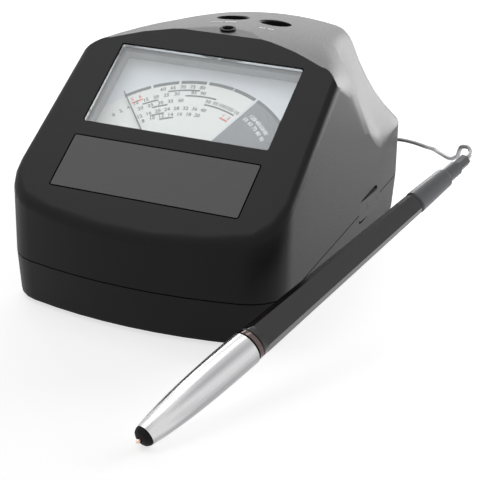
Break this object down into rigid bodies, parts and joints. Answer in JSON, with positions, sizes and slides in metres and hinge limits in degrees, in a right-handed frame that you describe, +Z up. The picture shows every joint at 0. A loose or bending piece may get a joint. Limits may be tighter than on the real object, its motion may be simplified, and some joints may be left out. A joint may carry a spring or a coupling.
{
  "type": "thermal gem tester",
  "caption": "Desk-top gem tester with a sloping analogue meter, recessed controls, a side rocker, a battery bay and a spring-tipped pen probe on a coiled cable.",
  "frame": {"origin": "on the table, under the middle of the box around the unit and its pen", "axes": "+Z up, -Y towards the user who reads the meter, +X to that user's right"},
  "size_m": [0.1418, 0.2742, 0.0843],
  "materials": {
    "shell_black": "fine moulded texture",
    "clear_lens": "polished clear acrylic",
    "case_grey": "satin moulded",
    "dial_paint": "matt paint",
    "yoke_iron": "sintered",
    "copper": "bare copper",
    "pointer_black": "matt black paint",
    "brass": "turned",
    "steel": "zinc plated",
    "nickel": "nickel plated",
    "chrome": "satin chrome",
    "control_black": "satin moulded",
    "plastic_black": "satin moulded",
    "barrel_black": "polished",
    "sleeve_grey": "satin",
    "rubber": "matt",
    "board_green": "solder resist",
    "lamp_clear": "clear epoxy",
    "plate_gloss": "semi-gloss film",
    "cell_jacket": "printed jacket",
    "capacitor_blue": "sleeve",
    "cable_black": "satin jacket"
  },
  "bodies": {
    "unit": {"base_shell": "shell_black", "upper_shell": "shell_black", "name_plate": "plate_gloss", "window_lens": "clear_lens", "meter_case": "case_grey", "dial_plate": "dial_paint", "dial_surround": "case_grey", "magnet_yoke": "yoke_iron", "pivot_bridge": "brass", "hairspring": "steel", "button_switch": "plastic_black", "potentiometer": "steel", "control_board": "board_green", "ready_lamp": "lamp_clear", "lamp_bezel": "plastic_black", "rocker_switch": "plastic_black", "battery_tray": "plastic_black", "contact_left": "nickel", "contact_right": "nickel", "cell_1": "cell_jacket", "cell_2": "cell_jacket", "cell_3": "cell_jacket", "foot_1": "rubber", "foot_2": "rubber", "foot_3": "rubber", "foot_4": "rubber", "case_screw_1": "steel", "case_screw_2": "steel", "case_screw_3": "steel", "case_screw_4": "steel", "main_board": "board_green", "amplifier_chip": "plastic_black", "reservoir_capacitor": "capacitor_blue", "probe_socket": "nickel", "adaptor_socket": "plastic_black", "cable_plug": "plastic_black", "cable_to_plug": "cable_black", "cable_coil": "cable_black", "cable_to_pen": "cable_black"},
    "movement": {"moving_coil": "copper", "pointer_needle": "pointer_black"},
    "button": {"test_button": "control_black"},
    "knob": {"calibration_knob": "control_black"},
    "rocker": {"power_rocker": "control_black"},
    "cover": {"battery_cover": "plastic_black"},
    "pen": {"pen_barrel": "barrel_black", "nose_cone": "chrome", "tip_insert": "plastic_black", "collar_ring": "nickel", "pen_sleeve": "sleeve_grey", "pen_plug": "plastic_black", "pen_end": "plastic_black", "pen_wire": "copper", "heater_rod": "copper", "tip_spring": "steel"},
    "pin": {"probe_pin": "copper"}
  },
  "joints": [
    {"name": "pointer_swing", "type": "hinge", "parent": "unit", "child": "movement", "pos_m": [-0.02047, -0.01492, 0.04312], "axis": [0, 0.5461, -0.8377], "range_deg": [0, 84], "stiffness_Nm_per_rad": 0.00004},
    {"name": "button_press", "type": "slide", "parent": "unit", "child": "button", "axis": [0, -0.1045, -0.9945], "range_m": [0, 0.0012], "stiffness_N_per_m": 400, "springref_m": -0.0005},
    {"name": "knob_turn", "type": "hinge", "parent": "unit", "child": "knob", "pos_m": [-0.01192, 0.05896, 0.08128], "axis": [0, 0.1045, 0.9945], "range_deg": [-135, 135]},
    {"name": "rocker_tilt", "type": "hinge", "parent": "unit", "child": "rocker", "pos_m": [0.02231, 0.05879, 0.0168], "axis": [0, 0, 1], "range_deg": [0, 10]},
    {"name": "cover_slide", "type": "slide", "parent": "unit", "child": "cover", "axis": [0, 1, 0], "range_m": [0, 0.005]},
    {"name": "pen_lift", "type": "slide", "parent": "unit", "child": "pen", "axis": [0, 0, 1], "range_m": [0, 0.04]},
    {"name": "pin_press", "type": "slide", "parent": "pen", "child": "pin", "axis": [0.3279, 0.8967, 0.2973], "range_m": [0, 0.001], "stiffness_N_per_m": 300, "springref_m": -0.0005, "deforming": ["tip_spring"]}
  ]
}
